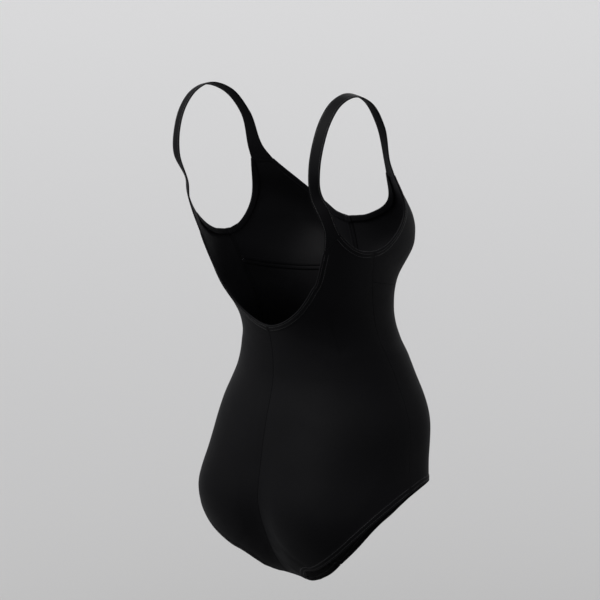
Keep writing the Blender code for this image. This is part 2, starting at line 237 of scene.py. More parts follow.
# Cut of what shows of each piece, laid flat and slack: width, length, area
FLAT_CUTS = {
    "back": (0.23, 0.45, 0.066),
    "cup": (0.21, 0.16, 0.020),
    "front_body": (0.40, 0.38, 0.110),
    "gusset": (0.070, 0.075, 0.0042),
    "strap": (0.038, 0.33, 0.0062),
}

# Jersey: noises as scale and detail, ribs and rows of loops as direction, scale and distortion,
# bumps as strength and distance
CLOTH_NOISE = (26.0, 5.0)
CLOTH_TONES = (0.78, 1.25)
CLOTH_ROUGHNESS = (0.56, 0.74)
CLOTH_SPECULAR = 0.045
SHEEN_ROUGHNESS = 0.42
SHEEN_TINT = (0.80, 0.82, 0.95, 1.0)
KNIT_RIBS = ("X", 520.0, 0.6)
KNIT_ROWS = ("Y", 700.0, 1.0)
KNIT_SHADE = 0.35
KNIT_BUMP = (0.30, 0.00010)
FIBRE_NOISE = (900.0, 3.0)
FIBRE_BUMP = (0.25, 0.00008)

# Colour and sheen of both faces of the cloth, and the thread
OUTSIDE = ((0.0026, 0.0026, 0.0032), 0.009)
LINING = ((0.0040, 0.0040, 0.0047), 0.008)
THREAD_NOISE = (1400.0, 2.0)
THREAD_TONES = ((0.006, 0.006, 0.007), (0.013, 0.013, 0.015))
THREAD_ROUGHNESS = (0.40, 0.60)
THREAD_SHEEN = 0.15

# Camera: the photograph is taken from behind, on the wearer's right, from a little above
IMAGE_SIZE = 600.0
SENSOR = 36.0
VIEW_AZIMUTH = 225.0
VIEW_ELEVATION = 11.0
VIEW_DISTANCE = 2.5
FOCAL_PIXELS = 1958.0
VIEW_TARGET = np.array([0.0, -0.044, -0.270])
FLOOR_Z = -1.35
FLOOR_RADIUS = 90.0
FLOOR_SIDES = 96
FARTHEST_SEEN = 500.0

# Lamps, aimed at the view's target: azimuth, elevation, distance, size, power, colour and spread
LAMPS = {
    "key": (158.0, 46.0, 1.6, 0.9, 38.0, (1.0, 0.99, 0.97), 180.0),
    "fill": (262.0, 30.0, 2.4, 1.2, 4.0, (0.95, 0.97, 1.0), 180.0),
    "front": (20.0, 35.0, 2.4, 1.0, 3.5, (1.0, 1.0, 1.0), 70.0),
}
STUDIO_COLOUR = (0.97, 0.97, 0.98, 1.0)
STUDIO_STRENGTH = 0.74

# Painted shade on the floor: darkest under the garment, like a broad painted shadow, and paler far
# away, a painted fall-off of the light
# The floor's tone against distance / (distance + fade): from a share and tone to a share and tone
FLOOR_FADE = 0.6
FLOOR_NEAR = (0.55, 0.16)
FLOOR_FAR = (0.985, 0.97)
FLOOR_ROUGHNESS = 0.9
FLOOR_SPECULAR = 0.1


def smooth_curve(keys, values, places):
    """Read a smooth curve through the values at the keys."""
    places = np.clip(places, keys[0], keys[-1])
    slopes = np.gradient(values, keys)
    start = np.clip(np.searchsorted(keys, places, side="right") - 1, 0, len(keys) - 2)
    length = keys[start + 1] - keys[start]
    t = (places - keys[start]) / length
    from_value = (2.0 * t**3 - 3.0 * t**2 + 1.0) * values[start]
    from_slope = (t**3 - 2.0 * t**2 + t) * length * slopes[start]
    to_value = (3.0 * t**2 - 2.0 * t**3) * values[start + 1]
    to_slope = (t**3 - t**2) * length * slopes[start + 1]
    return from_value + from_slope + to_value + to_slope


def section_value(name, run):
    column = SECTION_COLUMNS.index(name)
    return smooth_curve(SECTIONS[:, 0], SECTIONS[:, column], run)


def both_sides(across, form, power):
    here = np.exp(-np.abs((across - form["across"]) / form["wide"])**power)
    mirrored = np.exp(-np.abs((across + form["across"]) / form["wide"])**power)
    return here + mirrored


def seat_fullness(across, run):
    rise = both_sides(across, SEAT, 2.0) * np.exp(-((run - SEAT["run"]) / SEAT["long"])**2)
    valley = np.exp(-(across / VALLEY["wide"])**2 - ((run - VALLEY["run"]) / VALLEY["long"])**2)
    return SEAT["rise"] * rise - VALLEY["depth"] * valley


def cup_fullness(across, run):
    below = run - CUP["run"]
    length = np.where(below < 0.0, CUP["above"], CUP["below"])
    upright = np.exp(-np.abs(below / length)**CUP_POWER)
    return CUP["rise"] * both_sides(across, CUP, CUP_POWER) * upright


def figure_point(side, across, run):
    """Place on the figure, in metres from the origin.  A minus "across" is the wearer's right."""
    side_sign = np.where(across < 0.0, -1.0, 1.0)
    across = np.abs(across)
    angle = across * math.pi / 2.0
    square = section_value("square_" + side, run)
    radius = (np.abs(np.cos(angle))**square + np.abs(np.sin(angle))**square)**(-1.0 / square)
    side_y, side_z = section_value("side_y", run), section_value("side_z", run)
    out_y = section_value(side + "_y", run) - side_y
    out_z = section_value(side + "_z", run) - side_z
    fullness = seat_fullness(across, run) if side == "back" else cup_fullness(across, run)
    share = radius * np.cos(angle) + fullness / np.hypot(out_y, out_z)
    x = side_sign * section_value("half_width", run) * radius * np.sin(angle)
    return np.stack([x, side_y + out_y * share, side_z + out_z * share], axis=-1) - SHOULDER_PLACE


def panel_point(side):
    """The place function of one side's panels.  Past the side line it goes on over the other side."""
    other = "front" if side == "back" else "back"

    def point(across, run):
        past = np.abs(across) > 1.0
        beyond = figure_point(other, np.sign(across) * (2.0 - np.abs(across)), run)
        return np.where(past[..., None], beyond, figure_point(side, across, run))
    return point


def gusset_point(across, way):
    """The gusset runs on from back to front: its way is the run on the back, then past the crotch."""
    run = np.where(way <= CROTCH_RUN, way, 2.0 * CROTCH_RUN - way)
    on_back = (way <= CROTCH_RUN)[..., None]
    return np.where(on_back, figure_point("back", across, run), figure_point("front", across, run))


def unit(vectors):
    return vectors / np.maximum(np.linalg.norm(vectors, axis=-1, keepdims=True), 1e-12)


def dot(a, b):
    return np.sum(a * b, axis=-1)


def across_step(point, across, run):
    """Vector over a small step of "across" that has the place in its middle."""
    return point(across + PROBE, run) - point(across - PROBE, run)


def run_step(point, across, run):
    return point(across, run + PROBE) - point(across, run - PROBE)


def edge_step(point, edge, across):
    """Vector over a small step along an edge."""
    return point(across + PROBE, edge(across + PROBE)) - point(across - PROBE, edge(across - PROBE))


def per_metre(point, across, run):
    """How far "across" moves for each metre across the cloth."""
    return 2.0 * PROBE / np.linalg.norm(across_step(point, across, run), axis=-1)


def outward(point, across, run, turn):
    """Unit normals out of the garment.  Turn is 1 where run goes down the back, else -1."""
    return unit(np.cross(across_step(point, across, run), run_step(point, across, run))) * turn


def edge_profile(fold, turned):
    """Rows from the end of the turned-in cloth, round its fold, to a little way in on the outside.

    Gives, for each fold radius and turned length, each row's distance in from the edge, its reach
    past the edge and its lift."""
    fold = np.atleast_1d(fold)[:, None]
    turned = np.atleast_1d(turned)[:, None]
    under = np.linspace(1.0, 0.0, TURN_STEPS, endpoint=False)[None, :]
    angle = np.linspace(math.pi, 0.0, FOLD_STEPS + 1)[None, :]
    count = len(fold)
    near = np.repeat(NEAR_EDGE[None, :], count, axis=0)
    inside = np.hstack([turned * under, np.zeros((count, FOLD_STEPS + 1)), near])
    reach = np.hstack([0.0 * turned * under, fold * np.sin(angle), 0.0 * near])
    lift = np.hstack([-2.0 * fold + 0.0 * under, -fold * (1.0 - np.cos(angle)), 0.0 * near])
    return inside, reach, lift


def place_across(point, edges, inside, run):
    """Move "across" in from an edge by a distance in metres, at every place of a grid."""
    return edges + inside * per_metre(point, edges, run)


def step_down(distance, start, end):
    t = np.clip((distance - start) / (end - start), 0.0, 1.0)
    return 1.0 - t * t * (3.0 - 2.0 * t)


def free_edge_lines():
    """Fine lines of points along every neckline, armhole and leg opening, both halves."""
    way = np.linspace(BACK_LEG[0, 1], GUSSET_END, LINE_POINTS)
    lines = []
    for sign in (1.0, -1.0):
        for side, (neck, arm, leg) in TRIM.items():
            point, top = panel_point(side), joined_run(neck, arm)
            edges = ((top, 0.0, neck[-1, 0]), (top, arm[0, 0], 1.0), (leg_run(leg), leg[0, 0], 1.0))
            for edge, start, end in edges:
                across = sign * np.linspace(start, end, LINE_POINTS)
                lines.append(point(across, edge(across)))
        lines.append(gusset_point(sign * gusset_edge(way), way))
    return np.vstack(lines)


def edge_tree():
    """Search tree over the free edges."""
    points = free_edge_lines()
    tree = KDTree(len(points))
    for number, place in enumerate(points.tolist()):
        tree.insert(place, number)
    tree.balance()
    return tree


def edge_distance(base, tree):
    """Distance of every place from the nearest free edge."""
    flat = base.reshape(-1, 3).tolist()
    return np.array([tree.find(place)[2] for place in flat]).reshape(base.shape[:-1])


def hem_lift(distance):
    """A turned hem stands a little proud and dips along its two rows of stitches."""
    lift = HEM_RISE * step_down(distance, *HEM_EDGE)
    for line in STITCH_LINES:
        lift = lift - STITCH_DIP * np.exp(-((distance - line) / STITCH_DIP_WIDTH)**2)
    return lift


def crease_lift(base):
    """Soft troughs and ridges from the table, the same on both halves."""
    lift = np.zeros(base.shape[:-1])
    share = np.linspace(0.0, 1.0, CREASE_POINTS)
    for side, start, end, half_width, height in CREASES:
        across = start[0] + (end[0] - start[0]) * share
        run = start[1] + (end[1] - start[1]) * share
        reach = CREASE_REACH * half_width
        for sign in (1.0, -1.0):
            line = figure_point(side, sign * across, run)
            above = base > line.min(axis=0) - reach
            near = np.all(above & (base < line.max(axis=0) + reach), axis=-1)
            gap = np.linalg.norm(base[near][:, None, :] - line[None, :, :], axis=2)
            if len(gap):
                lift[near] += height * np.exp(-(gap.min(axis=1) / half_width)**2)
    return lift


def cloth_unrest(base):
    """Slight unevenness of stretched cloth, a fraction of a millimetre over a few centimetres."""
    lift = np.zeros(base.shape[:-1])
    for height, first, second in UNREST:
        first_wave = np.sin(base @ np.array(first[:3]) + first[3])
        second_wave = np.sin(base @ np.array(second[:3]) + second[3])
        lift = lift + height * first_wave * second_wave
    return lift


def seat_line_lift(across, run):
    """The centre-back seam's line: a valley with a sharp bottom."""
    gap = np.abs(across) / SEAT_LINE["wide"]
    length = np.exp(-((run - SEAT_LINE["run"]) / SEAT_LINE["long"])**4)
    return -SEAT_LINE["depth"] * np.exp(-gap) * length


def soft_lift(side, base, across, run):
    """The cloth's unevenness and creases, and on the back the centre seam's line."""
    lift = cloth_unrest(base) + crease_lift(base)
    if side == "back":
        lift = lift + seat_line_lift(across, run)
    return lift


def cloth_lift(side, base, across, run, folded, tree):
    """How far the cloth stands off the figure, apart from its folds at seams and hems."""
    hem = np.where(folded, 0.5 * HEM_RISE, hem_lift(edge_distance(base, tree)))
    return CLOTH_LIFT + soft_lift(side, base, across, run) + hem


def new_material(name):
    """A material with its net of nodes and its shader."""
    material = bpy.data.materials.new(name)
    material.use_nodes = True
    return material, material.node_tree, material.node_tree.nodes["Principled BSDF"]


def linked_node(net, kind, socket, source, values):
    """A node with one socket linked to its source and others set to values."""
    node = net.nodes.new("ShaderNode" + kind)
    net.links.new(source, node.inputs[socket])
    for name, value in values.items():
        node.inputs[name].default_value = value
    return node


def noise(net, place, scale, detail):
    values = {"Scale": scale, "Detail": detail}
    return linked_node(net, "TexNoise", "Vector", place, values).outputs["Fac"]


def bands(net, place, direction, scale, distortion):
    values = {"Scale": scale, "Distortion": distortion}
    texture = linked_node(net, "TexWave", "Vector", place, values)
    texture.bands_direction = direction
    return texture.outputs["Fac"]


def tone_between(net, share, first, second):
    mix = net.nodes.new("ShaderNodeMix")
    mix.data_type = "RGBA"
    mix.inputs["A"].default_value = (*first, 1.0)
    mix.inputs["B"].default_value = (*second, 1.0)
    net.links.new(share, mix.inputs["Factor"])
    return mix.outputs["Result"]


def value_between(net, share, low, high):
    values = {"To Min": low, "To Max": high}
    return linked_node(net, "MapRange", "Value", share, values).outputs["Result"]


def bump(net, height, strength, distance):
    return linked_node(net, "Bump", "Height", height, {"Strength": strength, "Distance": distance})


def jersey_material(name, colour, sheen):
    """Matte stretch jersey: fine upright ribs of loops, crossed by rows, with a soft sheen."""
    material, net, shader = new_material(name)
    shader.inputs["Specular IOR Level"].default_value = CLOTH_SPECULAR
    shader.inputs["Sheen Weight"].default_value = sheen
    shader.inputs["Sheen Roughness"].default_value = SHEEN_ROUGHNESS
    shader.inputs["Sheen Tint"].default_value = SHEEN_TINT

    cloth_map = net.nodes.new("ShaderNodeUVMap")
    cloth_map.uv_map = "cloth"
    place = net.nodes.new("ShaderNodeTexCoord").outputs["Object"]
    unevenness = noise(net, place, *CLOTH_NOISE)
    dark, light = [[share * value for value in colour] for share in CLOTH_TONES]

    knit = net.nodes.new("ShaderNodeMath")
    knit.operation = "MULTIPLY"
    net.links.new(bands(net, cloth_map.outputs["UV"], *KNIT_RIBS), knit.inputs[0])
    net.links.new(bands(net, cloth_map.outputs["UV"], *KNIT_ROWS), knit.inputs[1])
    shaded = net.nodes.new("ShaderNodeMix")
    shaded.data_type = "RGBA"
    shaded.blend_type = "MULTIPLY"
    shaded.inputs["Factor"].default_value = KNIT_SHADE
    net.links.new(tone_between(net, unevenness, dark, light), shaded.inputs["A"])
    net.links.new(knit.outputs["Value"], shaded.inputs["B"])
    net.links.new(shaded.outputs["Result"], shader.inputs["Base Color"])
    net.links.new(value_between(net, unevenness, *CLOTH_ROUGHNESS), shader.inputs["Roughness"])

    knit_bump = bump(net, knit.outputs["Value"], *KNIT_BUMP)
    fibre_bump = bump(net, noise(net, place, *FIBRE_NOISE), *FIBRE_BUMP)
    net.links.new(knit_bump.outputs["Normal"], fibre_bump.inputs["Normal"])
    net.links.new(fibre_bump.outputs["Normal"], shader.inputs["Normal"])
    return material


def thread_material():
    """Twisted thread, a little paler than the cloth."""
    material, net, shader = new_material("thread")
    shader.inputs["Sheen Weight"].default_value = THREAD_SHEEN
    place = net.nodes.new("ShaderNodeTexCoord").outputs["Object"]
    twist = noise(net, place, *THREAD_NOISE)
    net.links.new(tone_between(net, twist, *THREAD_TONES), shader.inputs["Base Color"])
    net.links.new(value_between(net, twist, *THREAD_ROUGHNESS), shader.inputs["Roughness"])
    return material


def add_object(name, data):
    thing = bpy.data.objects.new(name, data)
    bpy.context.scene.collection.objects.link(thing)
    return thing


def grid_object(name, points, cloth_places, materials):
    """Mesh over a grid of points, with the places on the cloth in metres as its UV map."""
    columns, rows = points.shape[:2]
    corner = np.arange(columns * rows).reshape(columns, rows)
    quads = np.stack([corner[:-1, :-1], corner[1:, :-1], corner[1:, 1:], corner[:-1, 1:]], axis=-1)
    mesh = bpy.data.meshes.new(name)
    mesh.from_pydata(points.reshape(-1, 3).tolist(), [], quads.reshape(-1, 4).tolist())
    cloth_map = mesh.uv_layers.new(name="cloth")
    order = np.empty(len(mesh.loops), dtype=np.int32)
    mesh.loops.foreach_get("vertex_index", order)
    cloth_map.data.foreach_set("uv", cloth_places.reshape(-1, 2)[order].ravel())
    mesh.shade_smooth()
    for material in materials:
        mesh.materials.append(material)
    return add_object(name, mesh)


def give_thickness(piece):
    solidify = piece.modifiers.new("cloth", "SOLIDIFY")
    solidify.thickness = CLOTH
    solidify.offset = 0.0
    solidify.use_rim = True
    solidify.material_offset = 1
    return piece


def declare(piece, node, flat_cut):
    width, length, area = FLAT_CUTS[flat_cut]
    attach(piece, "root")
    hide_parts(node)


def edge_run(line):
    """An edge as a function: its run at every "across"."""
    return lambda across: smooth_curve(line[:, 0], line[:, 1], np.abs(across))


def joined_run(neck, arm):
    """Top edge of a panel: the neckline, the straight strap seam, then the armhole."""
    def run_at(across):
        across = np.abs(across)
        on_seam = np.interp(across, [neck[-1, 0], arm[0, 0]], [neck[-1, 1], arm[0, 1]])
        run = np.where(across <= neck[-1, 0], edge_run(neck)(across), on_seam)
        return np.where(across >= arm[0, 0], edge_run(arm)(across), run)
    return run_at


def leg_run(leg):
    """Bottom edge of a panel: the gusset seam, then the leg opening."""
    def run_at(across):
        return np.where(np.abs(across) <= leg[0, 0], leg[0, 1], edge_run(leg)(across))
    return run_at


def edge_rate(edge, point, across):
    """Distance from the edge, in metres, that one unit of run down a column gives."""
    down = run_step(point, across, edge(across)) / (2.0 * PROBE)
    return np.linalg.norm(np.cross(down, unit(edge_step(point, edge, across))), axis=-1)


def inward_places(edge, point, across, distance, sign):
    """Across and run of places at one distance in from an edge, square to it."""
    run = edge(across)
    along = across_step(point, across, run) / (2.0 * PROBE)
    down = run_step(point, across, run) / (2.0 * PROBE)
    square = unit(np.cross(np.cross(along, down), edge_step(point, edge, across)))
    square = square * np.sign(dot(square, down))[:, None] * sign * distance
    skew = dot(along, down)
    stretch = dot(along, along) * dot(down, down) - skew**2
    step_across = (dot(along, square) * dot(down, down) - dot(down, square) * skew) / stretch
    step_run = (dot(down, square) * dot(along, along) - dot(along, square) * skew) / stretch
    return across + step_across, run + step_run


def smoothed(values, across):
    """Values evened out over neighbouring columns."""
    weights = np.exp(-((across[:, None] - across[None, :]) / SMOOTH_ACROSS)**2)
    return weights @ values / weights.sum(axis=1)


def edge_rows(edge, point, across, inside, sign):
    """Runs of rows that lie at given distances in from an edge, one row for each column of inside."""
    rows = []
    for number in range(inside.shape[1]):
        here = across[:, number]
        unit_run = 1.0 / edge_rate(edge, point, here)
        share = step_down(inside[:, number], *SMOOTH_FROM)
        unit_run = share * unit_run + (1.0 - share) * smoothed(unit_run, here)
        rows.append(edge(here) + sign * inside[:, number] * unit_run)
    return np.stack(rows, axis=1)


def edge_direction(point, edge, across, turn, away):
    """Unit direction in the cloth, square to its edge and out of it."""
    normal = outward(point, across, edge(across), turn)
    square = unit(np.cross(normal, edge_step(point, edge, across)))
    sign = np.sign(dot(square, run_step(point, across, edge(across)))) * away
    return square * sign[..., None]


def both_ends(first, count, sign):
    """Values at one end, then a count of zeros, then the values mirrored at the other end."""
    return np.concatenate([first, np.zeros(count), sign * first[::-1]])


def seam_profile():
    """Distances in, reaches and lifts of the rows round a folded seam edge."""
    inside, reach, lift = (values[0] for values in edge_profile(SEAM_FOLD, SEAM_TURNED))
    return inside + SEAM_SETBACK, reach, lift


def panel_columns(low, high, middle):
    """Column places: nominal "across", distance in from the side seam, its reach and its lift."""
    inside, reach, lift = seam_profile()
    count = len(middle)
    return {
        "edge": np.concatenate([np.full(len(inside), low), middle, np.full(len(inside), high)]),
        "inside": both_ends(inside, count, -1.0),
        "reach": both_ends(-reach, count, -1.0),
        "lift": both_ends(lift, count, 1.0),
    }


def edge_block(spec, end, nominal):
    """Distances in, reaches and lifts of the rows at the top or the bottom of a panel."""
    is_free = spec["free_" + end](nominal)
    fold = np.where(is_free, HEM_FOLD, SEAM_FOLD)
    inside, reach, lift = edge_profile(fold, np.where(is_free, HEM_TURNED, SEAM_TURNED))
    setback = np.where(is_free, HEM_FOLD, SEAM_SETBACK)
    return inside + setback[:, None], reach, lift


def row_runs(spec, top_inside, bottom_inside, across):
    """Run of every row of a panel, from places across the panel that differ row by row."""
    count = top_inside.shape[1]
    top = edge_rows(spec["top"], spec["point"], across[:, :count], top_inside, 1.0)
    bottom_across = across[:, ::-1][:, :count]
    bottom = edge_rows(spec["bottom"], spec["point"], bottom_across, bottom_inside, -1.0)
    share = np.linspace(0.0, 1.0, spec["rows"] + 2)[1:-1][None, :]
    middle = top[:, -1:] + (bottom[:, -1:] - top[:, -1:]) * share
    return np.hstack([top, middle, bottom[:, ::-1]])


def panel_places(spec, columns, top_inside, bottom_inside):
    """Across and run of the whole grid.  The side seams' distances hold at every row."""
    rows = 2 * top_inside.shape[1] + spec["rows"]
    edges = np.repeat(columns["edge"][:, None], rows, axis=1)
    inside = columns["inside"][:, None]
    run = np.full(edges.shape, spec["middle_run"])
    across = place_across(spec["point"], edges, inside, run)
    for _ in range(PANEL_PASSES):
        run = row_runs(spec, top_inside, bottom_inside, across)
        across = place_across(spec["point"], edges, inside, run)
    return across, run


def make_panel(node, kind, half, materials, tree):
    """One panel shell, with every edge folded under, on the half "left", "right" or "both"."""
    spec = panel_lines(kind)
    point, turn = spec["point"], TURN[spec["side"]]
    columns = half_columns(spec["stretches"], half)
    nominal = columns["edge"] + np.sign(columns["inside"]) * CORNER_STEP
    top_inside, top_reach, top_lift = edge_block(spec, "top", nominal)
    bottom_inside, bottom_reach, bottom_lift = edge_block(spec, "bottom", nominal)
    across, run = panel_places(spec, columns, top_inside, bottom_inside)
    blank = np.zeros((len(nominal), spec["rows"]))
    out_top = np.hstack([top_reach, blank, 0.0 * bottom_reach])
    out_bottom = np.hstack([0.0 * top_reach, blank, bottom_reach[:, ::-1]])
    row_lift = np.hstack([top_lift, blank, bottom_lift[:, ::-1]])

    base = point(across, run)
    normal = outward(point, across, run, turn)
    side_way = unit(across_step(point, across, run))
    column_lift = columns["lift"][:, None]
    folded = np.minimum(row_lift, column_lift) < FOLDED_BELOW
    lift = row_lift + column_lift + cloth_lift(spec["side"], base, across, run, folded, tree)

    top_way = edge_direction(point, spec["top"], across[:, TURN_STEPS], turn, -1.0)
    bottom_way = edge_direction(point, spec["bottom"], across[:, -TURN_STEPS], turn, 1.0)
    points = base + normal * lift[..., None] + side_way * columns["reach"][:, None, None]
    points = points + top_way[:, None, :] * out_top[..., None]
    points = points + bottom_way[:, None, :] * out_bottom[..., None]

    metres = across / per_metre(point, np.full(across.shape, MAP_ACROSS), run)
    cloth_places = np.stack([metres, run], axis=-1)
    if turn < 0.0:
        points = points[::-1]
        cloth_places = cloth_places[::-1]
    piece = grid_object("cloth_" + node, points, cloth_places, materials)
    declare(give_thickness(piece), node, kind)


def mid_columns(stretches):
    """Middle columns: each stretch is its start and its number of columns; the last is the end."""
    parts = [np.linspace(start, end, count, endpoint=False)
             for (start, count), (end, _) in zip(stretches, stretches[1:])]
    return np.append(np.concatenate(parts), stretches[-1][0])


def half_columns(stretches, half):
    """Columns of a panel that lies on the left half, the right half, or both."""
    middle = mid_columns(stretches)
    if half == "left":
        return panel_columns(0.0, 1.0, middle)
    if half == "right":
        return panel_columns(-1.0, 0.0, -middle[::-1])
    return panel_columns(-1.0, 1.0, np.concatenate([-middle[:0:-1], middle]))


def panel_lines(kind):
    """A panel's row of the table, with its places, its edges and where those are free hems."""
    spec = dict(PANELS[kind])
    neck, arm, leg = TRIM[spec["side"]]
    spec["point"] = panel_point(spec["side"])
    spec["top"] = spec["bottom"] = edge_run(UNDERBUST)
    spec["free_top"] = spec["free_bottom"] = lambda place: np.zeros(np.shape(place), dtype=bool)
    if spec["neck"]:
        spec["top"] = joined_run(neck, arm)
        spec["free_top"] = lambda place: (np.abs(place) <= neck[-1, 0]) | (np.abs(place) >= arm[0, 0])
    if spec["legs"]:
        spec["bottom"] = leg_run(leg)
        spec["free_bottom"] = lambda place: np.abs(place) >= leg[0, 0]
    return spec


def gusset_edge(way):
    """Half width of the gusset, as "across", on its way from the back seam to the front seam."""
    return np.interp(way, [BACK_LEG[0, 1], CROTCH_RUN, GUSSET_END],
                     [BACK_LEG[0, 0], GUSSET_MIDDLE_ACROSS, FRONT_LEG[0, 0]])


def gusset_ways():
    """Way of every row of the gusset, with each row's reach and lift at the two seams."""
    inside, reach, lift = seam_profile()
    share = np.linspace(0.0, 1.0, GUSSET_ROWS)[1:-1]
    ends = []
    for seam, sign in ((BACK_LEG[0, 1], 1.0), (GUSSET_END, -1.0)):
        step = np.linalg.norm(run_step(gusset_point, np.zeros(1), np.array([seam])))
        ends.append(seam + sign * inside * 2.0 * PROBE / step)
    middle = ends[0][-1] + (ends[1][-1] - ends[0][-1]) * share
    ways = np.concatenate([ends[0], middle, ends[1][::-1]])
    return ways, both_ends(-reach, len(share), -1.0), both_ends(lift, len(share), 1.0)


def make_gusset(node, materials, tree):
    """The crotch piece: hems along both legs, seams at back and front."""
    way, way_reach, way_lift = gusset_ways()
    inside, reach, lift = (values[0] for values in edge_profile(HEM_FOLD, HEM_TURNED))
    inside = inside + HEM_FOLD
    share = np.linspace(-1.0, 1.0, GUSSET_COLUMNS)[1:-1]
    ways = np.repeat(way[None, :], len(inside), axis=0)
    edges = -np.repeat(gusset_edge(way)[None, :], len(inside), axis=0)
    right = place_across(gusset_point, edges, inside[:, None], ways)
    middle = share[:, None] * (-right[-1:])
    across = np.vstack([right, middle, -right[::-1]])
    side_reach = both_ends(-reach, len(share), -1.0)
    side_lift = both_ends(lift, len(share), 1.0)

    ways = np.repeat(way[None, :], len(across), axis=0)
    base = gusset_point(across, ways)
    normal = outward(gusset_point, across, ways, 1.0)
    side_way = unit(across_step(gusset_point, across, ways))
    down_way = unit(run_step(gusset_point, across, ways))
    folded = np.minimum(side_lift[:, None], way_lift[None, :]) < FOLDED_BELOW
    lift = side_lift[:, None] + way_lift[None, :]
    lift = lift + cloth_lift("back", base, across, ways, folded, tree)
    points = base + normal * lift[..., None]
    points = points + side_way * side_reach[:, None, None] + down_way * way_reach[None, :, None]
    cloth_places = np.stack([across * GUSSET_MAP_WIDTH, ways], axis=-1)
    piece = grid_object("cloth_" + node, points, cloth_places, materials)
    declare(give_thickness(piece), node, "gusset")


def strap_keys(share):
    """Key places of the strap for one share of its width, from the back seam to the cup seam."""
    def on_figure(side, line):
        (inner_across, inner_run), (outer_across, outer_run) = line
        across = inner_across + (outer_across - inner_across) * share
        run = inner_run + (outer_run - inner_run) * share
        return figure_point(side, np.array(across), np.array(run))

    way = STRAP_WAY - SHOULDER_PLACE
    tangents = np.gradient(way, axis=0)
    sideways = np.cross(tangents, way - (SHOULDER_MIDDLE - SHOULDER_PLACE))
    sideways = unit(sideways) * np.sign(sideways[:, :1])
    ribbon = way + sideways * STRAP_HALF_WIDTH * (2.0 * share - 1.0)
    back = [on_figure("back", line) for line in STRAP_ON_BACK]
    front = [on_figure("front", line) for line in STRAP_ON_FRONT]
    return np.vstack([back, ribbon, front])


def strap_places():
    """Rows along the strap, from 0 to 1, close together at its two rounded ends."""
    near = STRAP_END / STRAP_LENGTH
    middle = np.linspace(near[-1], 1.0 - near[-1], STRAP_ROWS - 2 * len(near) + 2)[1:-1]
    return np.concatenate([near, middle, 1.0 - near[::-1]])


def strap_line(share, places):
    """Points along the strap at one share of its width, for places from 0 to 1 along it.

    Both ends are tucked a little way into the folded edges that they are sewn to."""
    keys = strap_keys(share)
    keys[0] += unit(keys[0] - keys[1]) * STRAP_TUCK
    keys[-1] += unit(keys[-1] - keys[-2]) * STRAP_TUCK
    steps = np.linalg.norm(np.diff(keys, axis=0), axis=1)
    along = np.concatenate([[0.0], np.cumsum(steps)])
    way = along[-1] * places
    return np.stack([smooth_curve(along, keys[:, axis], way) for axis in range(3)], axis=-1)


def strap_surface():
    """The strap's middle surface, its normals out from the shoulder, and its width along the way."""
    places = strap_places()
    sheet = np.array([strap_line(share, places) for share in np.linspace(0.0, 1.0, STRAP_SHARES)])
    across = np.gradient(sheet, axis=0)
    along = np.gradient(sheet, axis=1)
    normal = unit(np.cross(across, along))
    away = sheet - (SHOULDER_MIDDLE - SHOULDER_PLACE)
    centre = (STRAP_SHARES // 2, STRAP_ROWS // 2)
    flip = np.sign(dot(normal[centre], away[centre]))
    width = np.linalg.norm(np.diff(sheet, axis=0), axis=2).sum(axis=0)
    return sheet, normal * flip, width


def read_strap(sheet, share):
    """A sheet of the strap read at one share of its width for each row."""
    rows = np.arange(sheet.shape[1])
    place = np.clip(share, 0.0, 1.0) * (STRAP_SHARES - 1)
    low = np.clip(place.astype(int), 0, STRAP_SHARES - 2)
    t = (place - low)[:, None]
    return sheet[low, rows] * (1.0 - t) + sheet[low + 1, rows] * t


def make_strap(node, sign, material):
    """The strap: a flat tube of cloth with rounded, stitched edges and a wide foot on the back."""
    sheet, normal, width = strap_surface()
    places = strap_places()
    from_end = np.clip(np.minimum(places, 1.0 - places) * STRAP_LENGTH / STRAP_END[-1], 0.0, 1.0)
    rounding = np.sqrt(1.0 - (1.0 - from_end)**2)
    rings = []
    for turn in np.linspace(0.0, 2.0 * math.pi, STRAP_ROUND, endpoint=False):
        sideways = math.copysign(abs(math.cos(turn))**STRAP_SQUARE_SIDE, math.cos(turn))
        share = np.full(STRAP_ROWS, 0.5 + 0.5 * sideways)
        thick = math.copysign(abs(math.sin(turn))**STRAP_SQUARE, math.sin(turn))
        edge_gap = (0.5 - abs(share - 0.5)) * width
        lift = STRAP_LIFT + STRAP_HALF_THICKNESS * thick * rounding
        if math.sin(turn) > OUTER_FACE:
            lift = lift - STITCH_DIP * np.exp(-((edge_gap - STITCH_LINES[0]) / STITCH_DIP_WIDTH)**2)
        place, out = read_strap(sheet, share), read_strap(normal, share)
        rings.append(place + out * np.reshape(lift, (-1, 1)))
    rings = np.array(rings) * np.array([sign, 1.0, 1.0])
    rings = np.concatenate([rings, rings[:1]], axis=0)
    around = np.linspace(0.0, STRAP_GIRTH, STRAP_ROUND + 1)
    if sign > 0.0:
        rings = rings[::-1]
        around = around[::-1]
    cloth_places = np.stack(np.meshgrid(around, STRAP_LENGTH * places, indexing="ij"), axis=-1)
    piece = grid_object("cloth_" + node, rings, cloth_places, [material])
    weld = piece.modifiers.new("join", "WELD")
    weld.merge_threshold = STRAP_WELD
    declare(piece, node, "strap")


def read_line(at, along, values):
    return np.stack([np.interp(at, along, values[:, axis]) for axis in range(3)], axis=-1)


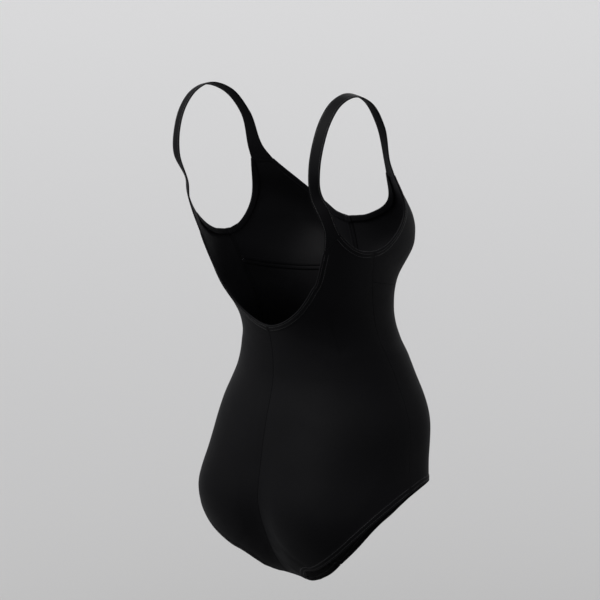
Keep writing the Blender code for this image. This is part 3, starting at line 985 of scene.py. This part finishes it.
def one_stitch(at, along, line, normals):
    """Rings of points of one stitch, which dives into the cloth at its two ends."""
    shape = np.array(THREAD_SHAPE)
    angles = np.arange(THREAD_SIDES) * 2.0 * math.pi / THREAD_SIDES
    places = at + STITCH_LENGTH * shape[:, 0]
    centre = read_line(places, along, line)
    normal = unit(read_line(places, along, normals))
    side = unit(np.cross(normal, unit(centre[-1] - centre[0])))
    centre = centre + normal * (THREAD_RADIUS * shape[:, 2])[:, None]
    spokes = (np.cos(angles)[None, :, None] * side[:, None, :]
              + np.sin(angles)[None, :, None] * normal[:, None, :])
    return centre[:, None, :] + spokes * (THREAD_RADIUS * shape[:, 1])[:, None, None]


def stitch_faces(first):
    """Faces of one closed stitch whose points start at a number."""
    faces = []
    for ring in range(len(THREAD_SHAPE) - 1):
        for k in range(THREAD_SIDES):
            here = first + ring * THREAD_SIDES + k
            beside = first + ring * THREAD_SIDES + (k + 1) % THREAD_SIDES
            faces.append((here, beside, beside + THREAD_SIDES, here + THREAD_SIDES))
    last = first + (len(THREAD_SHAPE) - 1) * THREAD_SIDES
    faces.append(tuple(first + k for k in range(THREAD_SIDES))[::-1])
    faces.append(tuple(last + k for k in range(THREAD_SIDES)))
    return faces


def stitches(lines):
    """Points and faces of short thread stitches along lines of points with normals."""
    points, faces = [], []
    for line, normals in lines:
        steps = np.linalg.norm(np.diff(line, axis=0), axis=1)
        along = np.concatenate([[0.0], np.cumsum(steps)])
        for start in np.arange(STITCH_START, along[-1] - STITCH_LENGTH, STITCH_PITCH):
            faces += stitch_faces(len(points) * len(THREAD_SHAPE) * THREAD_SIDES)
            points.append(one_stitch(start, along, line, normals).reshape(-1, 3))
    return np.vstack(points), faces


def stitch_places(side, point, across, run):
    """Places and normals of a row of stitches, on the cloth's outer face as its creases lift it."""
    base = point(across, run)
    normal = outward(point, across, run, TURN[side])
    lift = STITCH_LIFT + soft_lift(side, base, across, run)
    return base + normal * lift[:, None], normal


def hem_stitch_lines(side, half):
    """Both rows of stitches in every hem on the back or front, on the left where half is 1."""
    neck, arm, leg = TRIM[side]
    point, top = panel_point(side), joined_run(neck, arm)
    hems = (
        (top, STITCH_FROM_CENTRE, STITCH_TO_STRAP * neck[-1, 0], 1.0),
        (top, STITCH_FROM_CORNER + arm[0, 0], STITCH_TO_SIDE, 1.0),
        (leg_run(leg), STITCH_FROM_CORNER + leg[0, 0], STITCH_TO_SIDE, -1.0),
    )
    lines = []
    for edge, start, end, sign in hems:
        edge_across = half * np.linspace(start, end, STITCH_POINTS)
        for distance in STITCH_LINES:
            across, run = inward_places(edge, point, edge_across, distance, sign)
            lines.append(stitch_places(side, point, across, run))
    return lines


def strap_stitch_lines(sign):
    """One row of stitches along each edge of the strap's outer face."""
    sheet, normal, width = strap_surface()
    lift = STRAP_LIFT + STRAP_HALF_THICKNESS * OUTER_FACE_HEIGHT - STITCH_DIP
    stitched = slice(STRAP_UNSTITCHED, -STRAP_UNSTITCHED)
    mirror = np.array([sign, 1.0, 1.0])
    lines = []
    for edge in (0.0, 1.0):
        share = np.abs(edge - STITCH_LINES[0] / width)
        place, out = read_strap(sheet, share), read_strap(normal, share)
        lines.append(((place + out * lift)[stitched] * mirror, out[stitched] * mirror))
    return lines


def gusset_stitch_lines():
    start, end = BACK_LEG[0, 1] + STITCH_FROM_SEAM, GUSSET_END - STITCH_FROM_SEAM
    way = np.linspace(start, end, GUSSET_STITCH_POINTS)
    lines = []
    for sign in (1.0, -1.0):
        for distance in STITCH_LINES:
            edge = sign * gusset_edge(way)
            across = edge - sign * distance * per_metre(gusset_point, edge, way)
            lines.append(stitch_places("back", gusset_point, across, way))
    return lines


def make_stitches(name, lines, material):
    points, faces = stitches(lines)
    mesh = bpy.data.meshes.new(name)
    mesh.from_pydata(points.tolist(), [], faces)
    mesh.shade_smooth()
    mesh.materials.append(material)
    piece = add_object(name, mesh)
    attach(piece, "root")


def make_all_stitches(material):
    for name, half in (("left", 1.0), ("right", -1.0)):
        make_stitches("stitches_back_" + name, hem_stitch_lines("back", half), material)
        make_stitches("stitches_front_" + name, hem_stitch_lines("front", half), material)
        make_stitches("stitches_strap_" + name, strap_stitch_lines(half), material)
    make_stitches("stitches_gusset", gusset_stitch_lines(), material)


def direction(azimuth, elevation):
    """Unit direction from the object to a viewer: azimuth 0 is in front, at -Y."""
    a, e = math.radians(azimuth), math.radians(elevation)
    return np.array([math.sin(a) * math.cos(e), -math.cos(a) * math.cos(e), math.sin(e)])


def aim(thing, place, target):
    thing.location = Vector(place)
    thing.rotation_euler = (Vector(target) - Vector(place)).to_track_quat("-Z", "Y").to_euler()


def make_camera():
    data = bpy.data.cameras.new("camera")
    data.sensor_width = SENSOR
    data.lens = FOCAL_PIXELS / IMAGE_SIZE * SENSOR
    data.clip_end = FARTHEST_SEEN
    camera = add_object("camera", data)
    aim(camera, VIEW_TARGET + direction(VIEW_AZIMUTH, VIEW_ELEVATION) * VIEW_DISTANCE, VIEW_TARGET)
    bpy.context.scene.camera = camera


def area_light(name, azimuth, elevation, distance, size, power, colour, spread):
    data = bpy.data.lights.new(name, "AREA")
    data.shape = "DISK"
    data.size = size
    data.energy = power
    data.spread = math.radians(spread)
    data.color = colour
    aim(add_object(name, data), VIEW_TARGET + direction(azimuth, elevation) * distance, VIEW_TARGET)


def painted_shade_floor():
    """Floor with painted shade: dark grey under the garment, a broad painted shadow, and paler far
    away, a painted fall-off of the light.
    """
    material, net, shader = new_material("floor")
    shader.inputs["Roughness"].default_value = FLOOR_ROUGHNESS
    shader.inputs["Specular IOR Level"].default_value = FLOOR_SPECULAR
    place = net.nodes.new("ShaderNodeTexCoord").outputs["Object"]
    length = linked_node(net, "VectorMath", 0, place, {})
    length.operation = "LENGTH"
    distance = length.outputs["Value"]
    offset = linked_node(net, "Math", 0, distance, {1: FLOOR_FADE})
    offset.operation = "ADD"
    share = linked_node(net, "Math", 0, distance, {})
    share.operation = "DIVIDE"
    net.links.new(offset.outputs["Value"], share.inputs[1])
    # Painted shade: the floor's tone falls from pale far away to dark grey under the garment
    tone = linked_node(net, "MapRange", "Value", share.outputs["Value"], {})
    tone.inputs["From Min"].default_value, tone.inputs["To Min"].default_value = FLOOR_NEAR
    tone.inputs["From Max"].default_value, tone.inputs["To Max"].default_value = FLOOR_FAR
    net.links.new(tone.outputs["Result"], shader.inputs["Base Color"])
    return material


def make_stage():
    """Floor with painted shade under the garment, even studio surroundings, and lamps, the key behind
    the wearer's left.
    """
    bpy.ops.mesh.primitive_circle_add(vertices=FLOOR_SIDES, radius=FLOOR_RADIUS, fill_type="NGON",
                                      location=(0.0, 0.0, FLOOR_Z))
    floor = bpy.context.object
    floor.name = "floor"
    floor.data.materials.append(painted_shade_floor())

    world = bpy.data.worlds.new("studio")
    world.use_nodes = True
    backdrop = world.node_tree.nodes["Background"]
    backdrop.inputs["Color"].default_value = STUDIO_COLOUR
    backdrop.inputs["Strength"].default_value = STUDIO_STRENGTH
    bpy.context.scene.world = world
    bpy.context.scene.view_settings.view_transform = "Standard"
    for name, settings in LAMPS.items():
        area_light(name, *settings)


def main():
    make_camera()
    make_stage()
    outside = jersey_material("black_jersey_outside", *OUTSIDE)
    inside = jersey_material("black_lining", *LINING)
    faces = [outside, inside]
    tree = edge_tree()
    for half, sign in (("left", 1.0), ("right", -1.0)):
        make_panel("back_" + half, "back", half, faces, tree)
        make_panel("cup_" + half, "cup", half, faces, tree)
        make_strap("strap_" + half, sign, outside)
    make_panel("front_body", "front_body", "both", faces, tree)
    make_gusset("gusset", faces, tree)
    make_all_stitches(thread_material())


main()
